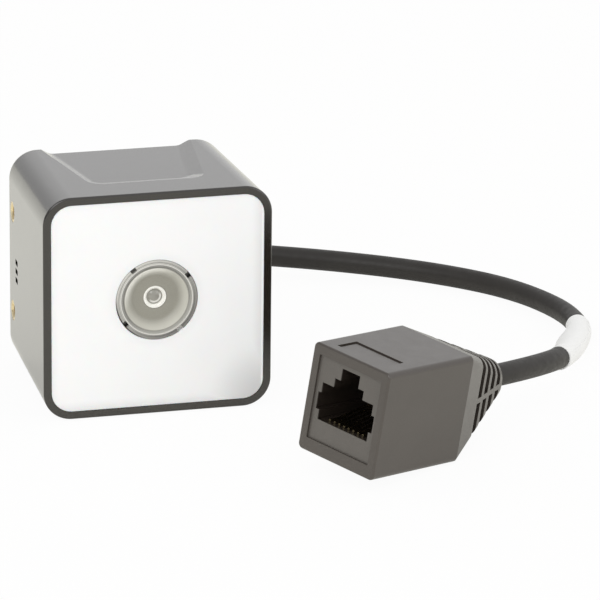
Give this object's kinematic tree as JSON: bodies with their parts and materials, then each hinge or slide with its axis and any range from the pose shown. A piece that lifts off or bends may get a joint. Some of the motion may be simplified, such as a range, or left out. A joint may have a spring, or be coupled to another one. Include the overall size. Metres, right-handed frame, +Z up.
{
  "type": "barcode scan engine",
  "caption": "Cube-shaped fixed-mount barcode scan engine with a lit white front panel round its lens window, side inserts, and a short cable ending in a modular jack.",
  "frame": {"origin": "under the middle of the housing, on the surface that it stands on", "axes": "+Z up, the window looks along -Y, +X to the right of someone who faces the window"},
  "size_m": [0.0987, 0.1127, 0.0378],
  "materials": {
    "housing_grey": "satin moulded",
    "diffuser_white": "satin translucent",
    "clear_plastic": "polished clear",
    "dish_grey": "semi-gloss",
    "cream_plastic": "semi-gloss",
    "lens_glass": "polished",
    "black_plastic": "matt",
    "board_green": "solder mask",
    "led_white": "gloss",
    "nylon_white": "matt",
    "flex_amber": "satin film",
    "steel": "zinc plated",
    "brass": "turned",
    "contact_gold": "gold plated",
    "lead_red": "insulation",
    "rubber_black": "matt",
    "cable_black": "satin jacket",
    "label_white": "matt paper",
    "jack_grey": "satin moulded",
    "socket_grey": "satin moulded"
  },
  "bodies": {
    "root": {"housing": "housing_grey", "front_diffuser": "diffuser_white", "window_ring": "clear_plastic", "lens_dish": "dish_grey", "lens_retainer": "cream_plastic", "front_lens": "lens_glass", "lens_barrel": "black_plastic", "lens_holder": "black_plastic", "image_sensor": "black_plastic", "imager_board": "board_green", "led_board": "board_green", "illumination_leds": "led_white", "front_spacers": "nylon_white", "rear_spacers": "nylon_white", "decoder_board": "board_green", "decoder_chip": "black_plastic", "memory_chip": "black_plastic", "flex_connectors": "nylon_white", "imager_flex": "flex_amber", "buzzer": "black_plastic", "stack_screws": "steel", "cable_header": "nylon_white", "cable_plug": "nylon_white", "cable_leads": "lead_red", "cable_grommet": "rubber_black", "side_inserts": "brass", "cable": "cable_black", "cable_label": "label_white", "jack_shell": "jack_grey", "jack_insert": "socket_grey", "jack_contacts": "contact_gold"}
  },
  "joints": []
}
